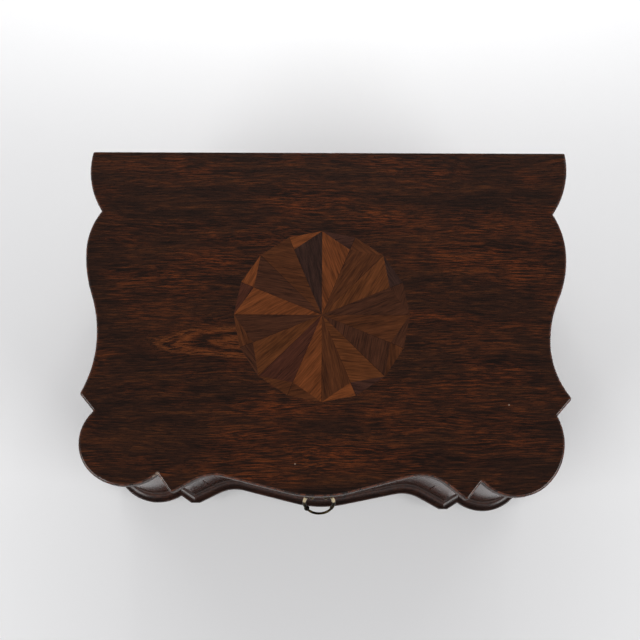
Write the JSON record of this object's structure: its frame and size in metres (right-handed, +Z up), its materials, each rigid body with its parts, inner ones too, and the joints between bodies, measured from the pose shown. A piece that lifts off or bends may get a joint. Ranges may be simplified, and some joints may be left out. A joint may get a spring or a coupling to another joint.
{
  "type": "sewing box",
  "caption": "Sewing box with a scalloped hinged lid inlaid with a star, fixed compartments, a pincushion and a bow-fronted drawer with a drop handle.",
  "frame": {"origin": "on the table, under the middle of the whole box's width and depth", "axes": "+X to the right of someone facing the drawer, +Y to the hinged back, +Z up"},
  "size_m": [0.3432, 0.2513, 0.165],
  "materials": {
    "dark_oak": "dark stained oak under a satin varnish",
    "plain_oak": "plain oak, waxed",
    "light_veneer": "light brown veneer, varnished",
    "dark_veneer": "red-brown veneer, varnished",
    "old_brass": "aged brass with a dark skin",
    "iron": "dark iron wire and screws",
    "velvet": "dark red velvet",
    "silk": "faded red silk over wadding"
  },
  "bodies": {
    "root": {"base_board": "dark_oak", "back_board": "dark_oak", "front_rail": "dark_oak", "dust_board": "plain_oak", "drawer_stops": "plain_oak", "long_partition": "plain_oak", "cushion_ledges": "plain_oak", "cushion_board": "plain_oak", "pincushion": "velvet", "case_hinge_screws": "iron", "side_board_left": "dark_oak", "side_board_right": "dark_oak", "corner_block_left": "dark_oak", "corner_block_right": "dark_oak", "drawer_guide_left": "plain_oak", "drawer_guide_right": "plain_oak", "short_partition_left": "plain_oak", "short_partition_right": "plain_oak", "case_leaf_left": "old_brass", "case_leaf_right": "old_brass", "hinge_pin_left": "iron", "hinge_pin_right": "iron", "foot_front_left": "dark_oak", "foot_front_right": "dark_oak", "foot_back_left": "dark_oak", "foot_back_right": "dark_oak"},
    "lid": {"lid_board": "dark_oak", "star_light_rays": "light_veneer", "star_dark_rays": "dark_veneer", "star_light_fills": "light_veneer", "star_dark_fills": "dark_veneer", "lid_lining": "silk", "lid_hinge_screws": "iron", "lid_leaf_left": "old_brass", "lid_leaf_right": "old_brass"},
    "drawer": {"drawer_front": "dark_oak", "drawer_back": "plain_oak", "drawer_bottom": "plain_oak", "drawer_side_left": "plain_oak", "drawer_side_right": "plain_oak", "pull_rosettes": "old_brass", "pull_nuts": "old_brass", "pull_post_left": "old_brass", "pull_post_right": "old_brass"},
    "bail": {"pull_bail": "old_brass"}
  },
  "joints": [
    {"name": "lid_hinge", "type": "hinge", "parent": "root", "child": "lid", "pos_m": [0, 0.12265, 0.15485], "axis": [-1, 0, 0], "range_deg": [0, 110]},
    {"name": "drawer_slide", "type": "slide", "parent": "root", "child": "drawer", "axis": [0, -1, 0], "range_m": [0, 0.14]},
    {"name": "bail_pivot", "type": "hinge", "parent": "drawer", "child": "bail", "pos_m": [-0.00597, -0.11279, 0.066], "axis": [-1, 0, 0], "range_deg": [-36, 72]}
  ]
}
